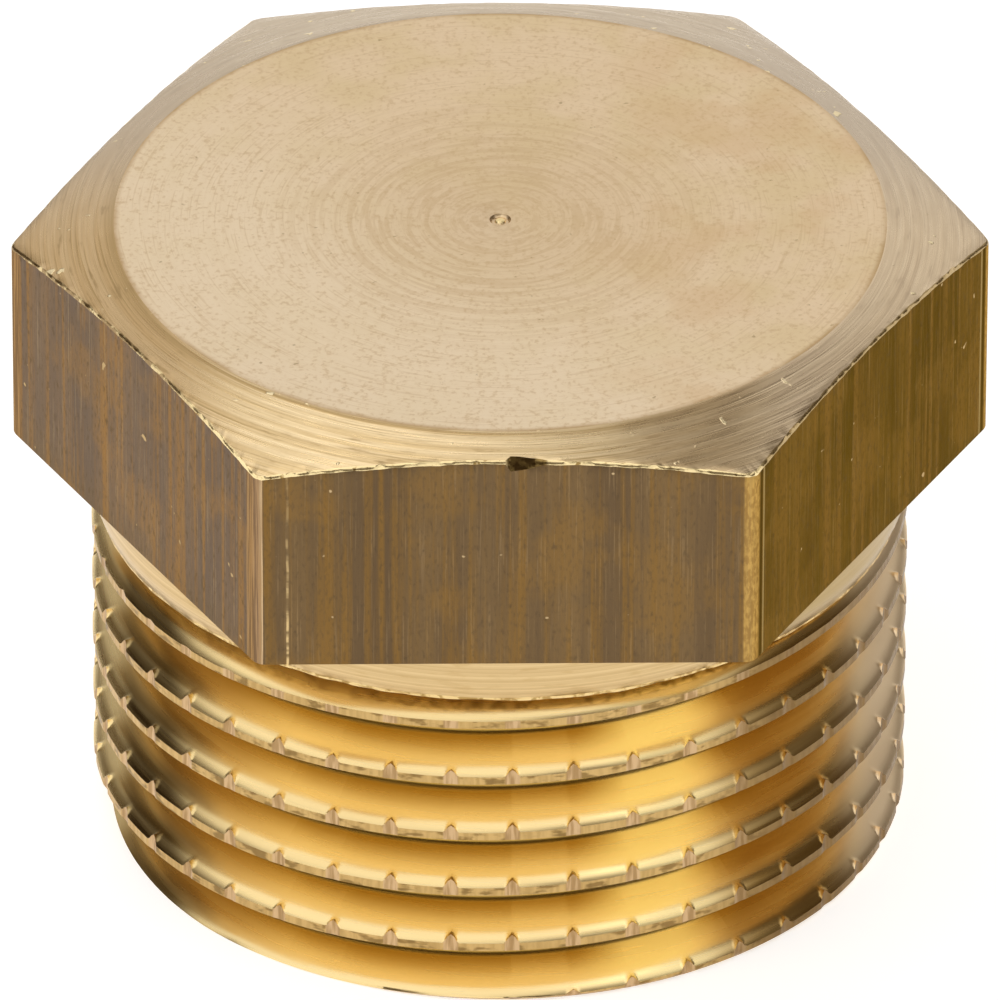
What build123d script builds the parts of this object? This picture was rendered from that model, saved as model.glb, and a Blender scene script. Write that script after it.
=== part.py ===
# Hexagon-head threaded plug, turned from brass bar as one piece.
# Millimetres. +Z points up, out of the head; the origin is the centre of the threaded end.
from build123d import *
from math import radians, tan
import os

# Head
across_flats = 17.0
head_height = 5.0
corner_radius = 0.3
disc_diameter = 15.45  # Flat turned disc on top, inside the conical chamfer
head_chamfer_angle = 15.5  # Slope of that chamfer, below the top face
pip_diameter = 0.2  # Nub left by facing, in the middle of the top
pip_recess_diameter = 0.42
pip_recess_depth = 0.06

# Neck between head and thread
neck_diameter = 16.56
neck_length = 1.12
neck_taper_length = 0.45  # The neck's lower end tapers in towards the thread
neck_taper_depth = 0.13

# Right-hand thread, 3/8 inch parallel pipe size
thread_diameter = 16.45
thread_pitch = 1.337
thread_length = 7.2
flank_angle = 27.5  # Half of the angle between the flanks
thread_start = 1.65  # The groove begins this far below the end face, on the +X side
end_chamfer = 0.1

# Form of the thread, as shares of its pitch
depth_per_pitch = 0.64
land_per_pitch = 0.18
root_ease_share = 0.85  # Share of the root's half width that its eased corners take up

# Sizes that follow
thread_radius = thread_diameter / 2
neck_radius = neck_diameter / 2
disc_radius = disc_diameter / 2
shank_length = thread_length + neck_length
overall_length = shank_length + head_height
flank_run = tan(radians(flank_angle))
groove_depth = depth_per_pitch * thread_pitch
groove_half_width = (1 - land_per_pitch) * thread_pitch / 2
root_half_width = groove_half_width - groove_depth * flank_run
root_ease = root_ease_share * root_half_width
cutter_overhang = land_per_pitch * thread_pitch / 4
cutter_half_width = groove_half_width + cutter_overhang * flank_run
chamfer_reach = across_flats  # Radius well outside the hexagon's corners
chamfer_drop = (chamfer_reach - disc_radius) * tan(radians(head_chamfer_angle))

with BuildPart() as plug:
    # Bar for the thread, a pitch longer at both ends than the groove
    with BuildSketch(Plane.XY.offset(-thread_start - thread_pitch)):
        Circle(thread_radius)
    extrude(amount=thread_start + thread_length + 3 * thread_pitch)

    # Helical groove with eased root corners; the crests stay flat on the bar's cylinder
    with BuildLine() as groove_path:
        Helix(
            pitch=thread_pitch,
            height=thread_start + thread_length + thread_pitch,
            radius=thread_radius,
            center=(0, 0, -thread_start),
        )
    with BuildSketch(Plane.XZ) as groove_section:
        with BuildLine():
            Polyline(
                (thread_radius + cutter_overhang, -thread_start + cutter_half_width),
                (thread_radius - groove_depth, -thread_start + root_half_width),
                (thread_radius - groove_depth, -thread_start - root_half_width),
                (thread_radius + cutter_overhang, -thread_start - cutter_half_width),
                close=True,
            )
        make_face()
        chamfer(groove_section.vertices().group_by(Axis.X)[0], root_ease)
    sweep(path=groove_path.line, is_frenet=True, mode=Mode.SUBTRACT)

    # Part the threaded bar off at both ends, and chamfer its free end
    split(bisect_by=Plane.XY.offset(thread_length), keep=Keep.BOTTOM)
    split(bisect_by=Plane.XY, keep=Keep.TOP)
    with BuildSketch(Plane.XZ):
        with BuildLine():
            Polyline(
                (thread_radius - end_chamfer, 0),
                (thread_radius + end_chamfer, 0),
                (thread_radius + end_chamfer, 2 * end_chamfer),
                close=True,
            )
        make_face()
    revolve(axis=Axis.Z, mode=Mode.SUBTRACT)

    # Neck, against which the thread stops
    with BuildSketch(Plane.XZ):
        with BuildLine():
            Polyline(
                (0, thread_length),
                (neck_radius - neck_taper_depth, thread_length),
                (neck_radius, thread_length + neck_taper_length),
                (neck_radius, shank_length),
                (0, shank_length),
                close=True,
            )
        make_face()
    revolve(axis=Axis.Z)

    # Hexagon head
    with BuildSketch(Plane.XY.offset(shank_length)) as hexagon:
        RegularPolygon(across_flats / 2, 6, major_radius=False)
        fillet(hexagon.vertices(), corner_radius)
    extrude(amount=head_height)

    # Conical chamfer turned on the top of the head
    with BuildSketch(Plane.XZ):
        with BuildLine():
            Polyline(
                (disc_radius, overall_length),
                (chamfer_reach, overall_length),
                (chamfer_reach, overall_length - chamfer_drop),
                close=True,
            )
        make_face()
    revolve(axis=Axis.Z, mode=Mode.SUBTRACT)

    # Nub in the middle of the top, inside its small recess
    with BuildSketch(Plane.XY.offset(overall_length)):
        Circle(pip_recess_diameter / 2)
        Circle(pip_diameter / 2, mode=Mode.SUBTRACT)
    extrude(amount=-pip_recess_depth, mode=Mode.SUBTRACT)

plug.part.label = "plug_body"
os.makedirs("parts", exist_ok=True)
export_step(plug.part, "parts/plug_body.step")
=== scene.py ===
"""Looks of the threaded plug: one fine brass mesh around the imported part, with its camera, light and floor.

Lengths are millimetres until a mesh or a place is handed to Blender, which works in metres.
Angles round the axis are radians from +X, anticlockwise seen from above.
"""
from math import atan2, cos, pi, radians, sin, tan

import bmesh
import bpy
import numpy as np
from mathutils import Matrix, Vector


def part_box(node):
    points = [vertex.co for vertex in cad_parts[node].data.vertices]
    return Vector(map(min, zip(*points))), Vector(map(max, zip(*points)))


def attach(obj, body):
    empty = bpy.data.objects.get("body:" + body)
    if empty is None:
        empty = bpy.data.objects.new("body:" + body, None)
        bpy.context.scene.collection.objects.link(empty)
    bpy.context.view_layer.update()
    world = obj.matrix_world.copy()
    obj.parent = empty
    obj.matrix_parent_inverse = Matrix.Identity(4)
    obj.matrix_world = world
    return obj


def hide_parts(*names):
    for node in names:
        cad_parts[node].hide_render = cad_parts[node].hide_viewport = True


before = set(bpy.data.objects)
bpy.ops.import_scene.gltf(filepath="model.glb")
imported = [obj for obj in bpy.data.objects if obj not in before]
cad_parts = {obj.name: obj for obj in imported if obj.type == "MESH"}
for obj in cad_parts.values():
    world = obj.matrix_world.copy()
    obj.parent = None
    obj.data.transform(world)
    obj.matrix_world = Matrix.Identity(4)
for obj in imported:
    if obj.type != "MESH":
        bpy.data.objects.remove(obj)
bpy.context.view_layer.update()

MM = 0.001
rng = np.random.default_rng(17)

# Head
_, node_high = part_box("plug_body")
TOP = node_high.z / MM
FLAT_RADIUS = node_high.y / MM
HEAD_HEIGHT = 5.0
UNDERSIDE = TOP - HEAD_HEIGHT
CORNER_RADIUS = 0.3
# Nub in its recess in the middle of the disc: radius and depth of each ring
NUB_RINGS = (
    (0.05, 0.012), (0.09, 0.025), (0.115, 0.055), (0.165, 0.06),
    (0.195, 0.035), (0.215, 0.006), (0.24, 0.0),
)
DISC_RINGS = (1.2, 2.6, 4.0, 5.4, 6.6, 7.4)
DISC_RADIUS = 7.725
DISC_EASE = 0.09  # The disc rolls over into the chamfer over twice this width
CHAMFER_SLOPE = tan(radians(15.5))
EDGE_EASE = 0.035  # How far the head's sharp edges are broken
CRUMB_RISE = 0.10  # Burrs left along the top edge
CHIP_PLACES = (0.03, 0.08, 0.35, 0.83)  # Places along the front flat of a chip in its top edge
CHIP_DEPTHS = (0.0, 0.17, 0.12, 0.0)
CHIP_MIDDLE = 0.42  # Middle of the chip's painted shadow
SCRATCH_X = -4.28  # Place along the front flat of a long scratch
FLAT_STEPS = 96  # Mesh steps along one flat
CORNER_STEPS = 6  # Mesh steps round one corner

# Neck
NECK_RADIUS = 8.28
NECK_END = 7.2  # Height at which the neck stops and the thread begins
NECK_FILLET = 0.04  # Eases the corner under the head
NECK_MIDDLE = 8.0
NECK_TAPER_TOP = 7.65
NECK_TAPER_MIDDLE = 7.45
NECK_TAPER_EASE = 0.06  # The taper's upper edge is eased over twice this height
NECK_END_RADIUS = 8.15
NECK_CLOSING = (7.9, 6.0)  # Radii of the last rings, inside the rod
TORN_TOP = 7.29  # The neck's last stretch is torn by the thread cutting
TORN_ROWS = (TORN_TOP, 7.26, 7.23, NECK_END)
TORN_DEPTH = 0.025
TORN_RISE = 0.015

# Thread
PITCH = 1.337
CREST_RADIUS = 8.225
THREAD_DEPTH = 0.64 * PITCH
GROOVE_START = -1.65  # Height of the groove's middle on the +X side
FLANK = radians(27.5)
FLANK_HALF = 0.1203  # Half the crest's height where the flanks' lines reach the crest's radius
UPPER_SHOULDER = (0.65, radians(38))  # Radius from the crest to its upper flank, and the slope it starts at
LOWER_SHOULDER = (0.03, 0.0)
CREST_WEAR = 0.008
END_CHAMFER = 0.1
ROD_TOP = NECK_END + 0.3  # The threaded rod runs up inside the neck
TURNS = range(-1, 8)  # Turns of the skin before it is cut at both ends
SPARE = 0.2  # Faces further than this beyond the cuts are left out
SHARP_ANGLE = radians(32)  # Edges of the mesh that turn by more stay sharp

# Notches pressed into the crests, in columns along the axis; each has a lip over the upper flank
NOTCH_COUNT = 42
NOTCH_FIRST = radians(-90 + 1.1)
NOTCH_HALF = 0.17
NOTCH_DEPTH = 0.05
NOTCH_SPREAD = (0.8, 1.1)  # Least and greatest share of that depth
NOTCH_TOP = 6.62  # The notching tool reached up to here
NOTCH_FADES = (0.3, 0.1)  # Heights over which the notches fade out, at the top and at the end
LIP_RISE = 0.22  # Above the crest's middle


class Nodes:
    """Node tree of one metal, built by short calls. Places are in millimetres of the plug's own frame."""

    def __init__(self, name):
        self.material = bpy.data.materials.new(name)
        self.material.use_nodes = True
        self.tree = self.material.node_tree
        self.shader = self.tree.nodes["Principled BSDF"]
        self.shader.inputs["Metallic"].default_value = 1.0
        local = self.add("TexCoord", {}, "Object")
        self.place = self.add("VectorMath", {0: local, "Scale": 1 / MM}, operation="SCALE")
        self.x, self.y, self.z = (self.add("SeparateXYZ", {0: self.place}, axis) for axis in "XYZ")
        self.flat = self.add("CombineXYZ", {"X": self.x, "Y": self.y})
        self.reach = self.add("VectorMath", {0: self.flat}, "Value", operation="LENGTH")
        angle = self.math("ARCTAN2", self.y, self.x)
        step = 2 * pi / NOTCH_COUNT
        self.column = self.math("MULTIPLY_ADD", angle, 1 / step, -NOTCH_FIRST / step)

    def add(self, kind, inputs, output=0, **settings):
        """Adds a node and gives one of its outputs."""
        node = self.tree.nodes.new("ShaderNode" + kind)
        for key, value in settings.items():
            setattr(node, key, value)
        for key, value in inputs.items():
            self.put(node.inputs[key], value)
        return node.outputs[output]

    def put(self, socket, value):
        """Sets a socket, or links an output to it."""
        if isinstance(value, bpy.types.NodeSocket):
            self.tree.links.new(value, socket)
        else:
            socket.default_value = value

    def math(self, operation, *values):
        """One step of arithmetic."""
        return self.add("Math", dict(enumerate(values)), operation=operation)

    def stretched(self, x, y, z):
        """Place, with each axis stretched; a large number makes fine detail along that axis."""
        return self.add("VectorMath", {0: self.place, 1: (x, y, z)}, operation="MULTIPLY")

    def round(self, across, along):
        """Place for marks that run round the axis: so many in a millimetre across, and in a radian along."""
        heading = self.add("VectorMath", {0: self.flat}, operation="NORMALIZE")
        turned = self.add("VectorMath", {0: heading, "Scale": along}, operation="SCALE")
        outward = self.add("CombineXYZ", {"Z": self.math("MULTIPLY", self.reach, across)})
        return self.add("VectorMath", {0: turned, 1: outward}, operation="ADD")

    def times(self, *masks):
        """Product of masks and numbers."""
        product = masks[0]
        for mask in masks[1:]:
            product = self.math("MULTIPLY", product, mask)
        return product

    def noise(self, vector, scale, detail=2.0):
        """Noise about 0.5 in space, with so many features in a millimetre."""
        return self.add("TexNoise", {"Vector": vector, "Scale": scale, "Detail": detail}, "Fac")

    def lines(self, along, scale, detail=2.0):
        """Noise about 0.5 along one length, as on turned work."""
        inputs = {"W": along, "Scale": scale, "Detail": detail}
        return self.add("TexNoise", inputs, "Fac", noise_dimensions="1D")

    def between(self, value, low, high, out_low=0.0, out_high=1.0):
        """Smooth step: out_low below low, out_high above high."""
        steps = {"Value": value, 1: low, 2: high, 3: out_low, 4: out_high}
        return self.add("MapRange", steps, interpolation_type="SMOOTHSTEP")

    def below(self, value, low, high):
        """Smooth step down: 1 below low, 0 above high."""
        return self.between(value, low, high, 1.0, 0.0)

    def band(self, value, start, full, fading, end):
        """Smooth band: 1 from full to fading, 0 before start and after end."""
        return self.times(self.between(value, start, full), self.below(value, fading, end))

    def mix(self, share, first, second):
        """Colour between two colours."""
        first, second = ((*c, 1) if isinstance(c, tuple) else c for c in (first, second))
        return self.add("Mix", {0: share, 6: first, 7: second}, 2, data_type="RGBA")

    def finish(self, color, roughness, height, relief):
        """Sets the shader: colour, roughness, and relief in millimetres from a height of about 0 to 1."""
        self.put(self.shader.inputs["Base Color"], (*color, 1) if isinstance(color, tuple) else color)
        self.put(self.shader.inputs["Roughness"], roughness)
        bump = self.add("Bump", {"Height": height, "Strength": 1.0, "Distance": relief * MM})
        self.put(self.shader.inputs["Normal"], bump)
        return self.material


def turned_top():
    """Faced disc: pale, finely mottled, with broken turning rings that show round the middle."""
    n = Nodes("turned_top")
    rings = n.noise(n.round(8.0, 1.5), 1.0, 3.0)
    arcs = n.noise(n.round(22.0, 5.0), 1.0, 2.0)
    centre = n.between(n.reach, 2.0, 5.5, 1.0, 0.12)
    grain = n.noise(n.place, 11.0, 4.0)
    clouds = n.noise(n.place, 0.7, 4.0)
    specks = n.noise(n.place, 4.5, 3.0)
    pale, olive, tan_tone = (0.88, 0.69, 0.46), (0.83, 0.65, 0.39), (0.70, 0.51, 0.29)
    tone = n.mix(n.between(clouds, 0.36, 0.68), pale, olive)
    # Painted sheen: paler at the left front
    painted_sheen = n.between(n.math("ADD", n.x, n.y), -6.0, 3.0, 0.75, 0.0)
    tone = n.mix(painted_sheen, tone, (0.94, 0.78, 0.56))
    tone = n.mix(n.times(n.below(n.reach, 1.0, 5.0), 0.35), tone, tan_tone)
    tone = n.mix(n.times(n.between(rings, 0.45, 0.6), centre, 0.5), tone, tan_tone)
    tone = n.mix(n.times(n.between(arcs, 0.55, 0.7), 0.4), tone, tan_tone)
    tone = n.mix(n.times(n.between(grain, 0.5, 0.72), 0.55), tone, tan_tone)
    tone = n.mix(n.times(n.between(specks, 0.70, 0.76), 0.6), tone, (0.42, 0.28, 0.13))
    # Brown stains on the right, a dull rim, and a bright nub
    stain = n.times(n.between(n.x, 0.5, 4.5), n.between(n.noise(n.place, 0.45, 5.0), 0.47, 0.62))
    tone = n.mix(n.times(stain, 0.4), tone, (0.74, 0.50, 0.26))
    rim = n.between(n.reach, DISC_RADIUS - 0.14, DISC_RADIUS + 0.02)
    tone = n.mix(n.times(rim, n.between(clouds, 0.4, 0.6, 0.4, 0.85)), tone, (0.54, 0.35, 0.16))
    tone = n.mix(n.below(n.reach, 0.08, 0.12), tone, (1.0, 0.80, 0.42))
    roughness = n.between(grain, 0.3, 0.7, 0.30, 0.42)
    height = n.math("ADD", n.times(rings, centre), n.times(grain, 0.5))
    return n.finish(tone, roughness, height, 0.005)


def turned_cone():
    """Chamfer on the head: turning lines with tears and small bright nicks."""
    n = Nodes("turned_cone")
    lines = n.noise(n.round(9.0, 1.2), 1.0, 5.0)
    tears = n.noise(n.round(7.0, 9.0), 1.0, 4.0)
    nicks = n.noise(n.place, 2.6, 2.0)
    fine = n.noise(n.round(30.0, 2.2), 1.0, 3.0)
    tone = n.mix(n.between(lines, 0.38, 0.62), (0.88, 0.69, 0.41), (0.74, 0.55, 0.29))
    tone = n.mix(n.between(n.x, -7.0, -4.6, 0.55, 0.0), tone, (0.60, 0.38, 0.17))
    tone = n.mix(n.times(n.between(fine, 0.56, 0.68), 0.75), tone, (0.46, 0.31, 0.13))
    rim = n.below(n.reach, DISC_RADIUS + 0.02, DISC_RADIUS + 0.30)
    tone = n.mix(n.times(rim, n.between(lines, 0.4, 0.6, 0.25, 0.85)), tone, (0.50, 0.34, 0.15))
    tone = n.mix(n.times(n.between(tears, 0.60, 0.72), 0.7), tone, (0.46, 0.31, 0.14))
    # Hazy on the right and at the back, brown between the front and the right
    tone = n.mix(n.times(n.between(n.x, 3.5, 6.0), 0.6), tone, (0.82, 0.67, 0.50))
    tone = n.mix(n.times(n.between(n.y, -1.0, 4.0), 0.7), tone, (0.62, 0.53, 0.42))
    brown = n.times(n.band(n.x, 1.6, 3.4, 4.2, 5.4), n.below(n.y, -5.0, -3.5))
    tone = n.mix(n.times(brown, 0.55), tone, (0.50, 0.36, 0.21))
    dents = n.between(nicks, 0.70, 0.74)
    tone = n.mix(dents, tone, (1.0, 0.84, 0.52))
    roughness = n.between(tears, 0.3, 0.7, 0.24, 0.36)
    height = n.math("ADD", n.math("ADD", n.times(lines, 0.6), n.times(fine, 0.5)), n.times(tears, 0.5))
    return n.finish(tone, roughness, n.math("ADD", height, n.times(dents, 0.8)), 0.012)


def drawn_flat():
    """Flat of the drawn bar: oxidised, with streaks along the bar, each flat in its own painted light and
    shade, and worn metal with a painted highlight on the corners.
    """
    n = Nodes("drawn_flat")
    broad = n.noise(n.stretched(0.9, 0.9, 0.10), 1.0, 4.0)
    streaks = n.noise(n.stretched(4.6, 4.6, 0.08), 1.0, 5.0)
    hairs = n.noise(n.stretched(26.0, 26.0, 0.5), 1.0, 3.0)
    grain = n.noise(n.stretched(14.0, 14.0, 6.0), 1.0, 4.0)
    clouds = n.noise(n.place, 0.55, 4.0)

    def patina(dark, middle, warm, pale):
        tone = n.mix(n.between(broad, 0.30, 0.70), dark, middle)
        tone = n.mix(n.times(n.between(clouds, 0.48, 0.62), 0.35), tone, warm)
        tone = n.mix(n.times(n.between(streaks, 0.48, 0.66), 0.7), tone, warm)
        tone = n.mix(n.times(n.below(streaks, 0.34, 0.46), 0.6), tone, dark)
        tone = n.mix(n.times(n.between(hairs, 0.54, 0.72), 0.35), tone, pale)
        return n.mix(n.times(n.between(grain, 0.50, 0.70), 0.45), tone, dark)

    # Painted light and shade: the front, left and right flats get their own tones of the same patina
    front = patina((0.148, 0.096, 0.050), (0.225, 0.142, 0.062), (0.30, 0.165, 0.042), (0.40, 0.27, 0.13))
    left = patina((0.175, 0.135, 0.116), (0.260, 0.180, 0.125), (0.40, 0.225, 0.085), (0.48, 0.37, 0.24))
    right = patina((0.095, 0.056, 0.015), (0.175, 0.100, 0.026), (0.27, 0.150, 0.038), (0.36, 0.24, 0.10))
    # The front flat lies between x -4.85 and 4.85
    tone = n.mix(n.below(n.x, -4.90, -4.80), front, left)
    tone = n.mix(n.between(n.x, 4.80, 4.90), tone, right)
    # Dark pits and a few small pale nicks
    pits = n.noise(n.stretched(12.0, 12.0, 5.0), 1.0, 4.0)
    nicks = n.noise(n.place, 2.7, 2.0)
    tone = n.mix(n.times(n.between(pits, 0.52, 0.74), 0.45), tone, (0.10, 0.07, 0.04))
    tone = n.mix(n.between(nicks, 0.715, 0.75), tone, (0.62, 0.46, 0.25))
    # Corners worn to metal, with a painted highlight over the wear: streaky and brown on the left, with a
    # painted pale highlight along the edge, and gold elsewhere
    gold = n.mix(n.between(grain, 0.4, 0.6), (0.64, 0.40, 0.115), (0.46, 0.27, 0.075))
    brown = n.mix(n.between(hairs, 0.42, 0.58), (0.24, 0.15, 0.085), (0.52, 0.32, 0.15))
    pale_edge = n.mix(n.between(hairs, 0.4, 0.6), (0.68, 0.48, 0.27), brown)
    brown = n.mix(n.between(n.x, -4.88, -4.83), brown, pale_edge)
    on_left = n.below(n.x, -2.0, -1.0)
    worn_and_highlit = n.mix(on_left, gold, brown)
    # On the left the bare metal reaches further over the left flat than over the front one
    beyond = n.math("ADD", n.between(n.x, -4.90, -4.86, 0.09, 0.0), n.between(n.x, -4.80, -4.76, 0.0, -0.09))
    shifted = n.math("ADD", n.reach, n.times(on_left, beyond))
    corner = n.between(shifted, 9.70, 9.735)
    tone = n.mix(n.times(corner, n.between(hairs, 0.35, 0.6, 0.95, 0.7)), tone, worn_and_highlit)
    # Beside the gold corner the right flat has a painted shade line and a thin painted highlight line
    on_right = n.between(n.x, 4.90, 4.95)
    painted_dark_line = n.band(n.reach, 9.65, 9.665, 9.69, 9.705)
    tone = n.mix(n.times(painted_dark_line, on_right, 0.8), tone, (0.06, 0.035, 0.01))
    painted_pale_line = n.band(n.reach, 9.61, 9.625, 9.635, 9.65)
    tone = n.mix(n.times(painted_pale_line, on_right, 0.6), tone, (0.55, 0.42, 0.20))
    # One long scratch on the front flat, fainter towards the top and broken in places
    wander = n.times(n.lines(n.z, 1.2, 4.0), 0.04)
    off = n.math("ABSOLUTE", n.math("ADD", n.math("ADD", n.x, -SCRATCH_X), wander))
    scratch = n.times(n.below(off, 0.012, 0.035), n.below(n.y, -8.45, -8.40))
    breaks = n.between(n.lines(n.z, 2.3, 3.0), 0.40, 0.60, 0.1, 1.0)
    scratch = n.times(scratch, n.between(n.z, 8.4, 12.4, 1.0, 0.2), breaks)
    tone = n.mix(scratch, tone, (0.80, 0.58, 0.28))
    roughness = n.between(streaks, 0.3, 0.7, 0.38, 0.50)
    height = n.math("ADD", streaks, n.math("ADD", n.times(hairs, 0.6), n.times(grain, 0.5)))
    n.shader.inputs["Specular Tint"].default_value = (0.72, 0.60, 0.42, 1)
    return n.finish(tone, roughness, height, 0.008)


def torn_edge():
    """Torn metal at the head's top edge: bright crumbs with a few dark tears."""
    n = Nodes("torn_edge")
    crumbs = n.noise(n.place, 6.0, 3.0)
    tone = n.mix(n.between(crumbs, 0.30, 0.40), (0.40, 0.26, 0.09), (0.97, 0.78, 0.42))
    # Painted shade: darker on the right and on the far left, and a painted shadow inside the chip
    tone = n.mix(n.between(n.x, 4.9, 5.2, 0.0, 0.8), tone, (0.36, 0.24, 0.10))
    painted_edge_shade = n.times(n.between(n.x, -7.0, -5.4, 0.9, 0.0), n.between(crumbs, 0.50, 0.62, 1.0, 0.3))
    tone = n.mix(painted_edge_shade, tone, (0.30, 0.19, 0.08))
    across = n.math("ABSOLUTE", n.math("ADD", n.x, -CHIP_MIDDLE))
    chip = n.times(n.below(across, 0.36, 0.44), n.below(n.y, -8.0, -7.8))
    tone = n.mix(chip, tone, n.mix(n.between(crumbs, 0.45, 0.6), (0.15, 0.09, 0.03), (0.34, 0.23, 0.08)))
    return n.finish(tone, 0.30, crumbs, 0.015)


def turned_neck():
    """Turned neck and underside: pale, with painted shade on the right, and fine lines round the axis."""
    n = Nodes("turned_neck")
    lines = n.lines(n.math("ADD", n.z, n.reach), 14.0, 5.0)
    flecks = n.noise(n.stretched(1.2, 1.2, 6.0), 1.4, 4.0)
    tone = n.mix(n.between(lines, 0.35, 0.65), (0.75, 0.55, 0.28), (0.62, 0.44, 0.21))
    tone = n.mix(n.times(n.between(flecks, 0.52, 0.70), 0.5), tone, (0.56, 0.38, 0.16))
    # Painted shade on the right
    tone = n.mix(n.between(n.x, 4.2, 5.4, 0.0, 0.75), tone, (0.40, 0.29, 0.13))
    return n.finish(tone, 0.30, lines, 0.005)


def torn_neck():
    """Torn lower end of the neck: dull crumbs and dark tears."""
    n = Nodes("torn_neck")
    crumbs = n.noise(n.place, 6.0, 3.0)
    tone = n.mix(n.between(crumbs, 0.38, 0.54), (0.52, 0.34, 0.12), (0.90, 0.68, 0.32))
    return n.finish(tone, 0.36, crumbs, 0.012)


def cut_thread():
    """Flanks and roots of the thread: gold, with painted shade down in the root and on both sides of the
    front, painted dark reflections on the left, and a painted highlight in front.
    """
    n = Nodes("cut_thread")
    lines = n.noise(n.stretched(0.25, 0.25, 9.0), 1.0, 3.0)
    # Painted shade: darker down in the root, its edge shifting a little from one column of notches to the
    # next
    patch = n.add("TexWhiteNoise", {"W": n.math("FLOOR", n.column)}, "Value", noise_dimensions="1D")
    gold, deep = (0.93, 0.72, 0.35), (0.56, 0.345, 0.072)
    depth = n.math("ADD", n.reach, n.times(n.math("ADD", patch, lines), 0.12))
    tone = n.mix(n.between(depth, 7.45, 8.05), deep, gold)
    # Painted shade on both sides of the front, and near black painted reflections along the crests on the
    # left
    right = n.band(n.x, 3.9, 5.2, 6.8, 7.3)
    left = n.times(n.below(n.x, -6.8, -4.0), n.below(n.reach, 7.98, 8.08))
    front = n.below(n.y, -2.5, -1.5)
    painted_side_shade = n.times(n.math("MAXIMUM", right, left), front)
    tone = n.mix(n.times(painted_side_shade, n.between(lines, 0.3, 0.7, 0.95, 0.65)), tone, (0.44, 0.255, 0.065))
    black = n.times(n.band(n.x, -7.75, -7.35, -6.75, -6.05), front, n.between(n.reach, 7.70, 8.00))
    tone = n.mix(n.times(black, n.between(lines, 0.35, 0.65, 0.9, 0.7)), tone, (0.10, 0.055, 0.012))
    # Painted highlight: brighter across the front right, and hazy near the right side
    painted_highlight = n.band(n.x, 1.3, 2.8, 3.5, 4.4)
    tone = n.mix(n.times(painted_highlight, front, 0.8), tone, (1.0, 0.81, 0.39))
    haze = n.times(n.between(n.x, 6.4, 7.6), n.below(n.y, -2.0, 5.0))
    tone = n.mix(n.times(haze, 0.9), tone, (0.90, 0.71, 0.48))
    roughness = n.math("ADD", n.between(lines, 0.3, 0.7, 0.24, 0.30), n.times(haze, 0.10))
    return n.finish(tone, roughness, lines, 0.003)


def crest_land():
    """Crests, tan and pitted, with painted shade on the right, and the notches in them, with streaks along
    the axis.
    """
    n = Nodes("crest_land")
    streaks = n.noise(n.stretched(11.0, 11.0, 1.2), 1.0, 3.0)
    pits = n.noise(n.stretched(2.2, 2.2, 6.0), 1.0, 4.0)
    beside = n.math("ABSOLUTE", n.math("SUBTRACT", n.column, n.math("ROUND", n.column)))
    inside = n.times(beside, 2 * pi * CREST_RADIUS / NOTCH_COUNT)
    notch = n.below(inside, NOTCH_HALF - 0.04, NOTCH_HALF)
    land = n.mix(n.between(streaks, 0.35, 0.65), (0.64, 0.43, 0.17), (0.56, 0.37, 0.14))
    land = n.mix(n.times(n.between(pits, 0.50, 0.62), 0.85), land, (0.27, 0.165, 0.055))
    dull = n.mix(n.between(streaks, 0.38, 0.62), (0.66, 0.45, 0.24), (0.46, 0.29, 0.13))
    tone = n.mix(notch, land, dull)
    # Painted shade on the right
    tone = n.mix(n.times(n.between(n.x, 3.6, 5.6), 0.85), tone, (0.21, 0.125, 0.045))
    roughness = n.between(streaks, 0.3, 0.7, 0.32, 0.46)
    return n.finish(tone, roughness, streaks, 0.010)


def parted_end():
    """Plain faced end of the thread, with turning rings."""
    n = Nodes("parted_end")
    rings = n.noise(n.round(7.0, 1.0), 1.0, 4.0)
    tone = n.mix(n.between(rings, 0.38, 0.62), (0.82, 0.64, 0.40), (0.70, 0.52, 0.29))
    return n.finish(tone, 0.36, rings, 0.006)


METALS = (
    turned_top, turned_cone, drawn_flat, torn_edge, turned_neck,
    torn_neck, cut_thread, crest_land, parted_end,
)
ZONE = {metal.__name__: index for index, metal in enumerate(METALS)}


def hexagon_radius(angle):
    """Radius of the hexagon with rounded corners in each direction; its corners lie on the X axis."""
    turn = np.abs((angle + pi / 6) % (pi / 3) - pi / 6)
    corner_centre = (FLAT_RADIUS - CORNER_RADIUS) / cos(pi / 6)
    arc_end = atan2(CORNER_RADIUS * sin(pi / 6), corner_centre + CORNER_RADIUS * cos(pi / 6))
    reach = np.maximum(CORNER_RADIUS**2 - (corner_centre * np.sin(turn)) ** 2, 0)
    on_corner = corner_centre * np.cos(turn) + np.sqrt(reach)
    on_flat = FLAT_RADIUS / np.cos(pi / 6 - turn)
    return np.where(turn < arc_end, on_corner, on_flat)


def head_angles():
    """Directions round the head: even steps along each flat, closer ones round each corner."""
    half_flat = (FLAT_RADIUS - CORNER_RADIUS) * tan(pi / 6)
    along = np.linspace(-half_flat, half_flat, FLAT_STEPS + 1)
    flat = pi / 6 + np.arctan2(along, FLAT_RADIUS)
    corner = np.linspace(flat[-1], 2 * pi / 3 - flat[-1], CORNER_STEPS + 1)[1:-1]
    side = np.concatenate([flat, corner])
    return np.concatenate([side + k * pi / 3 for k in range(6)])


def ragged(count, spread):
    """Closed run of random numbers from 0 to 1, smoothed over about so many neighbours."""
    values = rng.random(count)
    kernel = np.hanning(2 * spread + 3)
    wrapped = np.concatenate([values[-spread - 1:], values, values[: spread + 1]])
    smooth = np.convolve(wrapped, kernel / kernel.sum(), "valid")
    return (smooth - smooth.min()) / (smooth.max() - smooth.min())


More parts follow.
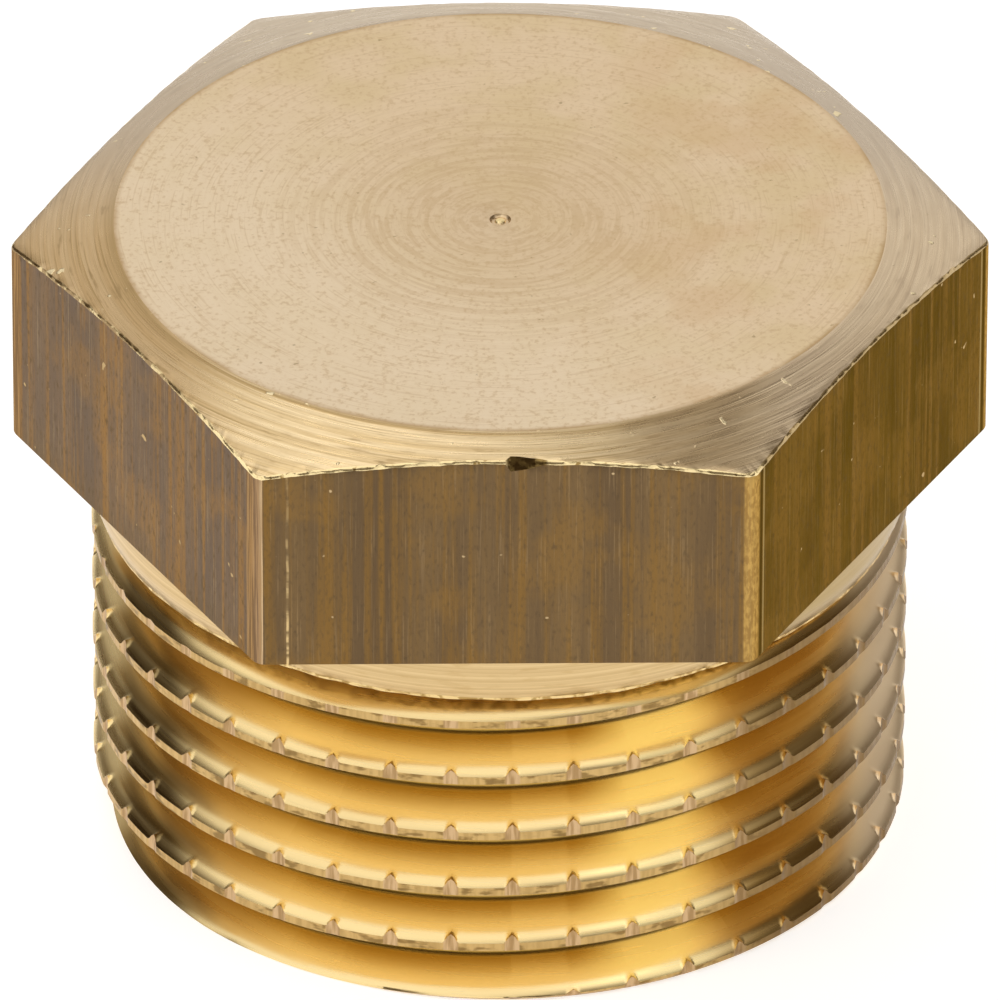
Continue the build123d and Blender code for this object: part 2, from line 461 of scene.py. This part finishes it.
def lathe(name, angles, rings):
    """Closed mesh through rings of (radius, height, zone of the band above); both ends close on the axis."""
    count = len(angles)
    points = []
    for radius, height, _ in rings:
        radius = np.broadcast_to(radius, count)
        height = np.broadcast_to(height, count)
        points.append(np.stack([radius * np.cos(angles), radius * np.sin(angles), height], axis=1))
    vertices = np.concatenate(points)
    first, last = len(vertices), len(vertices) + 1
    poles = [(0, 0, vertices[:count, 2].mean()), (0, 0, vertices[-count:, 2].mean())]
    faces, zones = [], []
    ring = np.arange(count)
    following = np.roll(ring, -1)
    for i, j in zip(ring, following):
        faces.append((first, i, j))
        zones.append(rings[0][2])
    for k in range(1, len(rings)):
        upper, lower = (k - 1) * count, k * count
        for i, j in zip(ring, following):
            faces.append((upper + i, lower + i, lower + j, upper + j))
            zones.append(rings[k][2])
    base = (len(rings) - 1) * count
    for i, j in zip(ring, following):
        faces.append((last, base + j, base + i))
        zones.append(rings[-1][2])
    return make_mesh(name, np.concatenate([vertices, poles]), faces, zones)


def make_mesh(name, vertices, faces, zones):
    """Mesh in metres from points in millimetres, with a material number on each face."""
    mesh = bpy.data.meshes.new(name)
    mesh.from_pydata((np.asarray(vertices) * MM).tolist(), [], [tuple(map(int, f)) for f in faces])
    for metal in metals:
        mesh.materials.append(metal)
    mesh.polygons.foreach_set("material_index", np.array([ZONE[z] for z in zones], np.int32))
    mesh.update()
    return mesh


def head_mesh():
    """Hexagon head with its turned top, its chamfer and the neck below it."""
    angles = head_angles()
    count = len(angles)
    outline = hexagon_radius(angles)
    edge = TOP - (outline - DISC_RADIUS) * CHAMFER_SLOPE
    burr = EDGE_EASE * ragged(count, 1)
    dip = EDGE_EASE * ragged(count, 1)
    # Burrs stand on the edges in front and at the sides, and the chip is on the front flat
    crumb = CRUMB_RISE * ragged(count, 0) ** 3 * ragged(count, 8) * (np.sin(angles) < -0.1)
    chip = np.interp(outline * np.cos(angles), CHIP_PLACES, CHIP_DEPTHS) * (np.sin(angles) < -0.8)
    torn = [ragged(count, spread) for spread in (1, 2, 1, 3)]
    rings = []

    def add(zone, *pairs):
        rings.extend((radius, height, zone) for radius, height in pairs)

    # Nub in its recess, and the flat disc
    for radius, depth in NUB_RINGS:
        add("turned_top", (radius, TOP - depth))
    for radius in DISC_RINGS:
        add("turned_top", (radius, TOP))
    # The disc rolls over into the chamfer
    for share in (-1.0, -0.5, 0.0, 0.5, 1.0):
        fall = DISC_EASE * CHAMFER_SLOPE * (1 + share) ** 2 / 4
        add("turned_top" if share < 0.5 else "turned_cone", (DISC_RADIUS + share * DISC_EASE, TOP - fall))
    # Chamfer, out to the broken edge of the hexagon
    start = DISC_RADIUS + DISC_EASE
    for share in (0.3, 0.6, 0.85, 1.0):
        radius = start + share * (outline - EDGE_EASE - burr - 0.6 * chip - start)
        add("turned_cone", (radius, TOP - (radius - DISC_RADIUS) * CHAMFER_SLOPE))
    middle = outline - 0.35 * EDGE_EASE - 0.4 * burr - 0.5 * chip
    add("torn_edge", (middle, edge + crumb - 0.2 * EDGE_EASE - 0.3 * dip - 0.4 * chip))
    add("torn_edge", (outline, edge - EDGE_EASE - dip - chip))
    # Flats, and the lower edge
    face_top, face_low = edge - EDGE_EASE - dip - chip, UNDERSIDE + EDGE_EASE
    for share in (0.05, 0.2, 0.4, 0.6, 0.8, 1.0):
        add("drawn_flat", (outline, face_top + share * (face_low - face_top)))
    add(
        "drawn_flat",
        (outline - 0.3 * EDGE_EASE, UNDERSIDE + 0.3 * EDGE_EASE),
        (outline - EDGE_EASE, UNDERSIDE),
    )
    # Underside and neck
    for share in (0.4, 0.8):
        add("turned_neck", (outline + share * (NECK_RADIUS - outline), UNDERSIDE))
    add(
        "turned_neck",
        (NECK_RADIUS + NECK_FILLET, UNDERSIDE),
        (NECK_RADIUS + 0.3 * NECK_FILLET, UNDERSIDE - 0.3 * NECK_FILLET),
        (NECK_RADIUS, UNDERSIDE - NECK_FILLET),
        (NECK_RADIUS, NECK_MIDDLE),
        (NECK_RADIUS, NECK_TAPER_TOP + NECK_TAPER_EASE),
        (NECK_RADIUS - 0.008, NECK_TAPER_TOP - NECK_TAPER_EASE),
    )
    taper = (NECK_RADIUS - NECK_END_RADIUS) / (NECK_TAPER_TOP - NECK_END)
    add("turned_neck", (NECK_RADIUS - taper * (NECK_TAPER_TOP - NECK_TAPER_MIDDLE), NECK_TAPER_MIDDLE))
    for height, tear in zip(TORN_ROWS, torn):
        radius = NECK_RADIUS - taper * (NECK_TAPER_TOP - height) - TORN_DEPTH * tear
        zone = "turned_neck" if height == TORN_TOP else "torn_neck"
        add(zone, (radius, height + TORN_RISE * tear if height < TORN_TOP else height))
    for radius in NECK_CLOSING:
        add("torn_neck", (radius, NECK_END))
    return lathe("head", angles, rings)


def crest_half(radius, shoulder):
    """Half the height of the thread's crest at a radius: rounded root, straight flank, rounded shoulder."""
    root = CREST_RADIUS - THREAD_DEPTH
    above, below = radius - root, CREST_RADIUS - radius
    root_round = (PITCH / 2 - FLANK_HALF - THREAD_DEPTH * tan(FLANK)) / tan((pi / 2 - FLANK) / 2)
    in_root = PITCH / 2 - np.sqrt(np.maximum(root_round**2 - (root_round - above) ** 2, 0))
    on_flank = FLANK_HALF + below * tan(FLANK)
    bend, slope = shoulder
    reach = bend * (cos(slope) - sin(FLANK))
    edge = FLANK_HALF + reach * tan(FLANK) - bend * (cos(FLANK) - sin(slope))
    rise = np.sqrt(1 - np.clip(cos(slope) - below / bend, 0, 1) ** 2) - sin(slope)
    outer = np.where(below < reach, edge + bend * rise, on_flank)
    return np.where(above < root_round * (1 - sin(FLANK)), in_root, outer)


def thread_rows():
    """Shares of the thread's depth at which its rows lie, from the root to the crest."""
    root_rows = np.array([0, 0.006, 0.025, 0.06, 0.106])
    flank_rows = np.array([0.4, 0.64, 0.752])
    crest_rows = np.array([0.84, 0.92, 0.975, 1.0])
    return np.concatenate([root_rows, flank_rows, crest_rows])


def thread_angles():
    """Directions round the thread: at each column of notches close together, and even between columns."""
    step = 2 * pi / NOTCH_COUNT
    half = NOTCH_HALF / CREST_RADIUS
    near = half * np.array([-1.15, -1.0, -0.75, -0.4, 0.0, 0.4, 0.75, 1.0, 1.15])
    between = np.linspace(near[-1], step + near[0], 5)[1:-1]
    column = np.concatenate([near, between])
    angles = np.concatenate([NOTCH_FIRST + k * step + column for k in range(NOTCH_COUNT)])
    return np.sort(angles % (2 * pi))


def crest_height(angles, turn):
    """Height of the crest's middle along one turn."""
    return GROOVE_START + PITCH * (angles / (2 * pi) + 0.5 + turn)


def notch_press(angles, turn, depths):
    """How far each direction lies inside a notch along one turn, from 0 outside to about 1 in its middle."""
    step = 2 * pi / NOTCH_COUNT
    place = (angles - NOTCH_FIRST) / step
    column = np.round(place).astype(int)
    offset = np.abs(place - column) * step * CREST_RADIUS / NOTCH_HALF
    height = crest_height(angles, turn)
    fade_top, fade_end = NOTCH_FADES
    reached = np.clip((NOTCH_TOP - height) / fade_top, 0, 1) * np.clip(height / fade_end, 0, 1)
    return reached * depths[column % NOTCH_COUNT] * np.clip(1 - offset**1.6, 0, 1)


def thread_mesh():
    """Threaded rod: a helical skin, cut flat at both ends."""
    angles = thread_angles()
    count = len(angles)
    shares = thread_rows()
    root = CREST_RADIUS - THREAD_DEPTH
    rows, row_zones = [], []
    for turn in TURNS:
        wear = CREST_WEAR * ragged(count, 3)
        press = notch_press(angles, turn, rng.uniform(*NOTCH_SPREAD, NOTCH_COUNT))
        cap = CREST_RADIUS - wear - NOTCH_DEPTH * press
        middle = crest_height(angles, turn)
        radii = root + shares[:, None] * (cap - root)
        lower = middle - crest_half(radii, LOWER_SHOULDER)
        upper = middle + np.maximum(crest_half(radii, UPPER_SHOULDER), LIP_RISE * press)
        for radius, height in zip(radii, lower):
            rows.append((radius, height))
            row_zones.append("cut_thread")
        rows.append((radii[-1], (lower[-1] + upper[-1]) / 2))
        row_zones.append("crest_land")
        for radius, height in zip(radii[:0:-1], upper[:0:-1]):
            rows.append((radius, height))
            row_zones.append("cut_thread")
        row_zones[1 - len(shares)] = "crest_land"
    per_turn = 2 * len(shares)
    vertices = np.concatenate(
        [np.stack([r * np.cos(angles), r * np.sin(angles), z], axis=1) for r, z in rows]
    )
    heights = vertices[:, 2].reshape(len(rows), count)
    faces, zones = [], []
    for k in range(1, len(rows)):
        for i in range(count):
            j, shift = (i + 1, 0) if i + 1 < count else (0, per_turn)
            if k + shift >= len(rows):
                continue
            corners = ((k - 1, i), (k - 1 + shift, j), (k + shift, j), (k, i))
            levels = [heights[c] for c in corners]
            if max(levels) < -SPARE or min(levels) > ROD_TOP + SPARE:
                continue
            faces.append([row * count + column for row, column in corners])
            zones.append(row_zones[k])
    mesh = make_mesh("thread", vertices, faces, zones)
    cut_rod(mesh)
    return mesh


def cut_rod(mesh):
    """Cuts the helical skin flat at both ends, closes it, and chamfers its lower end."""
    bm = bmesh.new()
    bm.from_mesh(mesh)
    up = Vector((0, 0, 1))

    def cut(height, **clear):
        everything = bm.verts[:] + bm.edges[:] + bm.faces[:]
        plane = {"plane_co": up * height * MM, "plane_no": up}
        bmesh.ops.bisect_plane(bm, geom=everything, dist=1e-8, **plane, **clear)

    cut(END_CHAMFER)
    cut(0.0, clear_inner=True)
    cut(ROD_TOP, clear_outer=True)
    bmesh.ops.delete(bm, geom=[v for v in bm.verts if not v.link_faces], context="VERTS")
    for vertex in bm.verts:
        limit = (CREST_RADIUS - END_CHAMFER) * MM + vertex.co.z
        reach = vertex.co.xy.length
        if vertex.co.z < END_CHAMFER * MM and reach > limit:
            vertex.co.xy *= limit / reach
    for height in (0.0, ROD_TOP):
        rim = [e for e in bm.edges if e.is_boundary and abs(e.verts[0].co.z - height * MM) < 1e-7]
        middle = bm.verts.new(up * height * MM)
        for edge in rim:
            loop = edge.link_loops[0]
            face = bm.faces.new((middle, loop.link_loop_next.vert, loop.vert))
            face.material_index = ZONE["parted_end"]
    bmesh.ops.recalc_face_normals(bm, faces=bm.faces)
    bm.to_mesh(mesh)
    bm.free()


def plug_piece():
    """Head and threaded rod joined into one closed skin."""
    head = bpy.data.objects.new("turned_plug", head_mesh())
    rod = bpy.data.objects.new("rod", thread_mesh())
    for piece in (head, rod):
        bpy.context.scene.collection.objects.link(piece)
    union = head.modifiers.new("union", "BOOLEAN")
    union.operation = "UNION"
    union.solver = "MANIFOLD"
    union.object = rod
    bpy.context.view_layer.update()
    evaluated = head.evaluated_get(bpy.context.evaluated_depsgraph_get())
    joined = bpy.data.meshes.new_from_object(evaluated)
    head.modifiers.clear()
    head.data = joined
    bpy.data.objects.remove(rod)
    joined.shade_smooth()
    joined.set_sharp_from_angle(angle=SHARP_ANGLE)
    return head


# Floor and room
FLOOR_REACH = 4.0  # Metres
FLOOR_DROP = 0.01  # The floor lies a hair under the part, so that the two faces stay apart
FLOOR_PAINT = (0.8, 0.8, 0.8, 1)
FLOOR_GLOW = 0.66
ROOM_COLOR = (1.0, 0.74, 0.46, 1)
ROOM_LEVEL = 0.10


def studio_floor():
    """Plain pale floor; the camera and the metal see it as near white, with the object's shadow kept."""
    mesh = bpy.data.meshes.new("floor")
    reach, level = FLOOR_REACH, -FLOOR_DROP * MM
    corners = [(-reach, -reach, level), (reach, -reach, level), (reach, reach, level), (-reach, reach, level)]
    mesh.from_pydata(corners, [], [(0, 1, 2, 3)])
    floor = bpy.data.objects.new("floor", mesh)
    bpy.context.scene.collection.objects.link(floor)
    material = bpy.data.materials.new("pale_floor")
    material.use_nodes = True
    nodes, links = material.node_tree.nodes, material.node_tree.links
    nodes.clear()
    output = nodes.new("ShaderNodeOutputMaterial")
    paint = nodes.new("ShaderNodeBsdfDiffuse")
    paint.inputs["Color"].default_value = FLOOR_PAINT
    glow = nodes.new("ShaderNodeEmission")
    glow.inputs["Color"].default_value = (1, 1, 1, 1)
    path = nodes.new("ShaderNodeLightPath")
    seen = nodes.new("ShaderNodeMath")
    seen.operation = "MAXIMUM"
    links.new(path.outputs["Is Camera Ray"], seen.inputs[0])
    links.new(path.outputs["Is Glossy Ray"], seen.inputs[1])
    also = nodes.new("ShaderNodeMath")
    also.operation = "MAXIMUM"
    links.new(seen.outputs[0], also.inputs[0])
    links.new(path.outputs["Is Transmission Ray"], also.inputs[1])
    strength = nodes.new("ShaderNodeMath")
    strength.operation = "MULTIPLY"
    strength.inputs[1].default_value = FLOOR_GLOW
    links.new(also.outputs[0], strength.inputs[0])
    links.new(strength.outputs[0], glow.inputs["Strength"])
    both = nodes.new("ShaderNodeAddShader")
    links.new(paint.outputs[0], both.inputs[0])
    links.new(glow.outputs[0], both.inputs[1])
    links.new(both.outputs[0], output.inputs["Surface"])
    mesh.materials.append(material)


def studio_light():
    """Dim brown room with soft lights: a wide panel overhead, a small one on the right, a wall behind."""
    world = bpy.data.worlds.new("room")
    world.use_nodes = True
    nodes, links = world.node_tree.nodes, world.node_tree.links
    background = nodes["Background"]
    background.inputs["Color"].default_value = (1, 1, 1, 1)
    ray = nodes.new("ShaderNodeTexCoord").outputs["Generated"]
    total = None

    def glow(azimuth, elevation, inner, outer, level):
        """Round soft light, full to the inner angle and gone at the outer one.

        Azimuth 0 is in front and 90 on the right.
        """
        nonlocal total
        a, e = radians(azimuth), radians(elevation)
        toward = nodes.new("ShaderNodeVectorMath")
        toward.operation = "DOT_PRODUCT"
        toward.inputs[1].default_value = (sin(a) * cos(e), -cos(a) * cos(e), sin(e))
        links.new(ray, toward.inputs[0])
        fade = nodes.new("ShaderNodeMapRange")
        fade.interpolation_type = "SMOOTHSTEP"
        for socket, value in zip(fade.inputs[1:5], (cos(radians(outer)), cos(radians(inner)), 0.0, level)):
            socket.default_value = value
        links.new(toward.outputs["Value"], fade.inputs["Value"])
        plus = nodes.new("ShaderNodeMath")
        links.new(fade.outputs["Result"], plus.inputs[0])
        plus.inputs[1].default_value = 0.0
        if total is not None:
            links.new(total, plus.inputs[1])
        total = plus.outputs[0]

    glow(-60, 70, 34, 42, 1.05)  # Wide panel overhead, to the left
    glow(60, 55, 11, 21, 0.95)  # Small panel on the right
    glow(180, 28, 8, 42, 0.74)  # Pale wall behind
    glow(-160, 62, 3, 14, 0.65)  # Small lights behind: one high, and one on each side
    glow(133, 30, 6, 17, 0.5)
    glow(-136, 36, 6, 15, 0.2)
    links.new(total, background.inputs["Strength"])
    walls = nodes.new("ShaderNodeBackground")
    walls.inputs["Color"].default_value = ROOM_COLOR
    walls.inputs["Strength"].default_value = ROOM_LEVEL
    both = nodes.new("ShaderNodeAddShader")
    links.new(background.outputs[0], both.inputs[0])
    links.new(walls.outputs[0], both.inputs[1])
    links.new(both.outputs[0], nodes["World Output"].inputs["Surface"])
    bpy.context.scene.world = world


# Camera, from a fit to the photo
VIEW_ELEVATION = radians(32.699)
VIEW_YAW = radians(0.7825)
VIEW_ROLL = radians(0.1356)
VIEW_DISTANCE = 439.3  # From the middle of the top face
FOCAL_PIXELS = 21991
IMAGE_PIXELS = 1000
TOP_MIDDLE_PIXEL = (500.28, 219.22)  # Where the photo shows the middle of the top face
SENSOR = 36.0


def photo_camera():
    """Camera at the photo's place, turned so that its own axis meets the middle of the picture."""
    data = bpy.data.cameras.new("camera")
    data.sensor_width = SENSOR
    data.lens = SENSOR * FOCAL_PIXELS / IMAGE_PIXELS
    data.clip_start, data.clip_end = 0.01, 20
    camera = bpy.data.objects.new("camera", data)
    level = cos(VIEW_ELEVATION)
    back = Vector((-level * sin(VIEW_YAW), -level * cos(VIEW_YAW), sin(VIEW_ELEVATION)))
    right = Vector((cos(VIEW_YAW), -sin(VIEW_YAW), 0))
    upright = Matrix((right, back.cross(right), back)).transposed()
    left_by = atan2(TOP_MIDDLE_PIXEL[0] - IMAGE_PIXELS / 2, FOCAL_PIXELS)
    down_by = atan2(IMAGE_PIXELS / 2 - TOP_MIDDLE_PIXEL[1], FOCAL_PIXELS)
    turned = upright @ Matrix.Rotation(VIEW_ROLL, 3, "Z")
    turned = turned @ Matrix.Rotation(left_by, 3, "Y") @ Matrix.Rotation(-down_by, 3, "X")
    place = Vector((0, 0, TOP)) + back * VIEW_DISTANCE
    camera.matrix_world = Matrix.Translation(place * MM) @ turned.to_4x4()
    bpy.context.scene.collection.objects.link(camera)
    bpy.context.scene.camera = camera


metals = [metal() for metal in METALS]
plug = plug_piece()
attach(plug, "root")
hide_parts("plug_body")
studio_floor()
studio_light()
photo_camera()
bpy.context.scene.view_settings.view_transform = "Standard"
